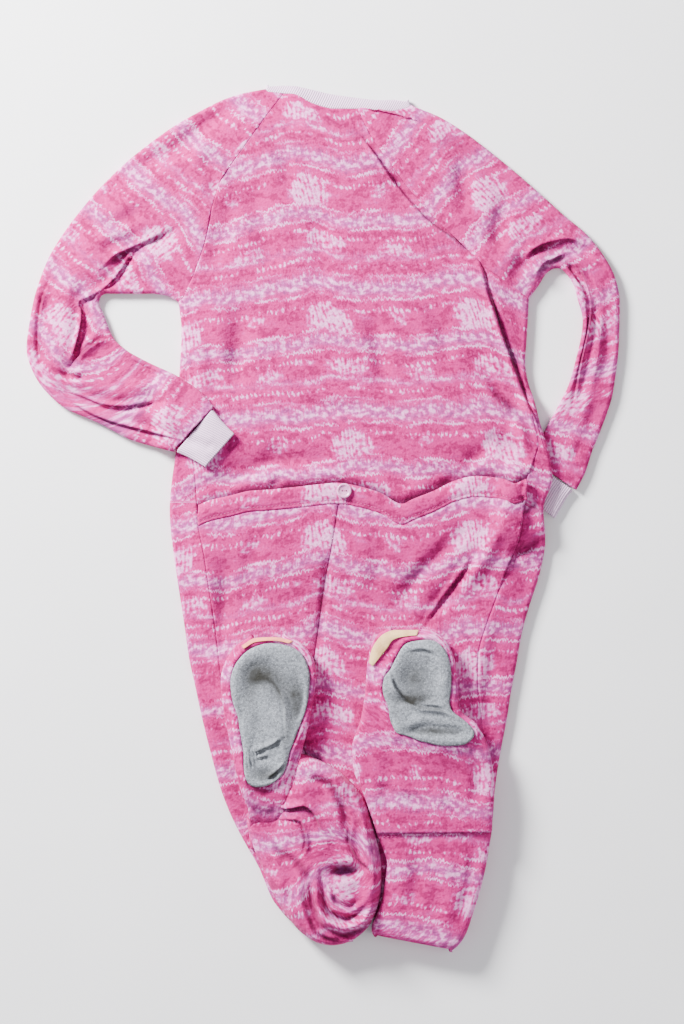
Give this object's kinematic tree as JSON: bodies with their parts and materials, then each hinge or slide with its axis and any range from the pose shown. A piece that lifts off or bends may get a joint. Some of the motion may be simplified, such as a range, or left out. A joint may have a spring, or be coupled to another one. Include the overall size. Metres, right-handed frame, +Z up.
{
  "type": "footed onesie pajama",
  "caption": "Adult footed fleece onesie laid flat with its back up: raglan sleeves, rib cuffs and neckband, buttoned drop seat, legs folded up with the soles showing.",
  "frame": {"origin": "middle of the bounding box, on the flat underside that rests on the surface", "axes": "+Y towards the neck along the length, +X to the wearer's right side, +Z up out of the surface towards the back of the garment"},
  "size_m": [0.798, 1.1656, 0.04],
  "materials": {
    "fleece": "matt brushed fleece, pink and white tie-dye",
    "rib": "matt rib knit, pale lavender",
    "sole": "grey sole cloth with raised grip dots, worn and stained",
    "patch": "matt plain cream applique",
    "button": "satin pale pink"
  },
  "bodies": {
    "root": {"front_left": "fleece", "front_right": "fleece", "back_bodice": "fleece", "seat_band": "fleece", "seat_back_left": "fleece", "seat_back_right": "fleece", "sleeve_left": "fleece", "sleeve_right": "fleece", "right_lower_leg": "fleece", "right_bootie": "fleece", "left_lower_leg": "fleece", "left_leg_outer_fold": "fleece", "left_leg_inner_fold": "fleece", "left_bootie": "fleece", "cuff_left": "rib", "cuff_right": "rib", "neckband": "rib", "left_sole": "sole", "right_sole": "sole", "left_toe_patch": "patch", "right_toe_patch": "patch", "button": "button"}
  },
  "joints": []
}
